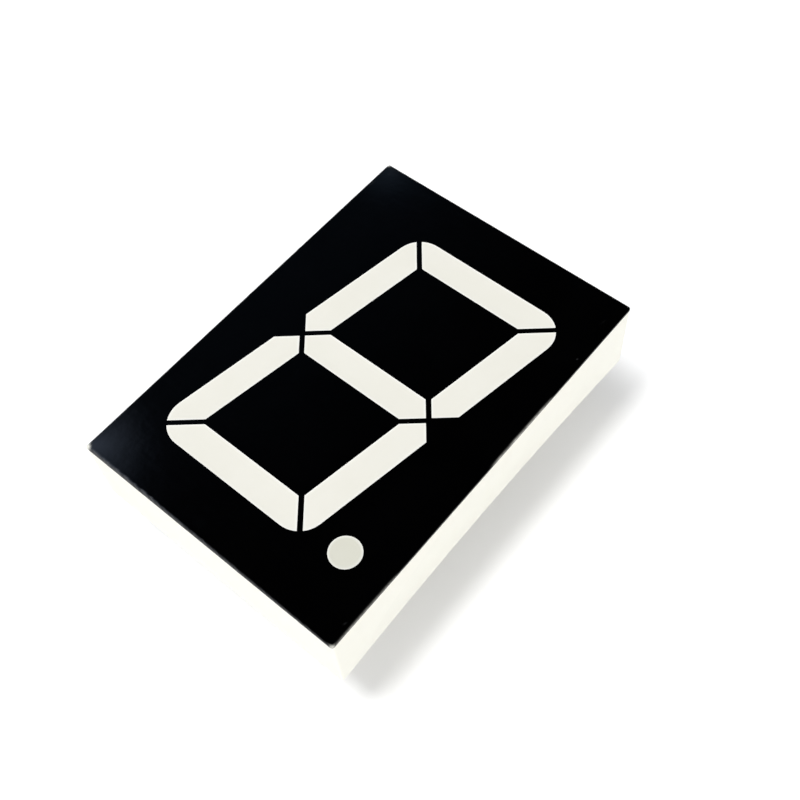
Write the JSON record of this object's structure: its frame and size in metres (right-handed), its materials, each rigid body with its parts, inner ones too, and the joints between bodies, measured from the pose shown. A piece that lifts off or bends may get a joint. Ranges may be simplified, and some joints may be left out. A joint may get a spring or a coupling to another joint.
{
  "type": "seven segment display",
  "caption": "One-digit seven segment display with a decimal point: a black face, off-white segments, a white housing potted at the back and ten through-hole pins.",
  "frame": {"origin": "centre of the seat, the plane of the housing's rear rim", "axes": "+Z out of the face, +Y towards the top of the digit, +X to the reader's right; the decimal point is at +X -Y"},
  "size_m": [0.024, 0.034, 0.0134],
  "materials": {
    "housing": "satin moulded white plastic",
    "mask": "printed satin black layer",
    "epoxy": "milky cast epoxy, lapped flat",
    "board": "glass-fibre board with a green solder mask",
    "copper": "rolled copper foil and plating",
    "wire": "drawn gold wire",
    "chip": "sawn semiconductor with a metal top pad",
    "pin": "bright tin plating",
    "solder": "smooth solder",
    "resin": "self-levelled, slightly cloudy epoxy"
  },
  "bodies": {
    "root": {"reflector_housing": "housing", "face_mask": "mask", "decimal_point": "epoxy", "circuit_board": "board", "potting_resin": "resin", "segment_a": "epoxy", "segment_b": "epoxy", "segment_c": "epoxy", "segment_d": "epoxy", "segment_e": "epoxy", "segment_f": "epoxy", "segment_g": "epoxy", "copper_a": "copper", "copper_b": "copper", "copper_c": "copper", "copper_d": "copper", "copper_e": "copper", "copper_f": "copper", "copper_g": "copper", "copper_dp": "copper", "copper_common": "copper", "bond_wires": "wire", "chip_a1": "chip", "chip_a2": "chip", "chip_b1": "chip", "chip_b2": "chip", "chip_c1": "chip", "chip_c2": "chip", "chip_d1": "chip", "chip_d2": "chip", "chip_e1": "chip", "chip_e2": "chip", "chip_f1": "chip", "chip_f2": "chip", "chip_g1": "chip", "chip_g2": "chip", "chip_dp": "chip", "pin_1": "pin", "pin_2": "pin", "pin_3": "pin", "pin_4": "pin", "pin_5": "pin", "pin_6": "pin", "pin_7": "pin", "pin_8": "pin", "pin_9": "pin", "pin_10": "pin", "solder_joint_1": "solder", "solder_joint_2": "solder", "solder_joint_3": "solder", "solder_joint_4": "solder", "solder_joint_5": "solder", "solder_joint_6": "solder", "solder_joint_7": "solder", "solder_joint_8": "solder", "solder_joint_9": "solder", "solder_joint_10": "solder"}
  },
  "joints": []
}
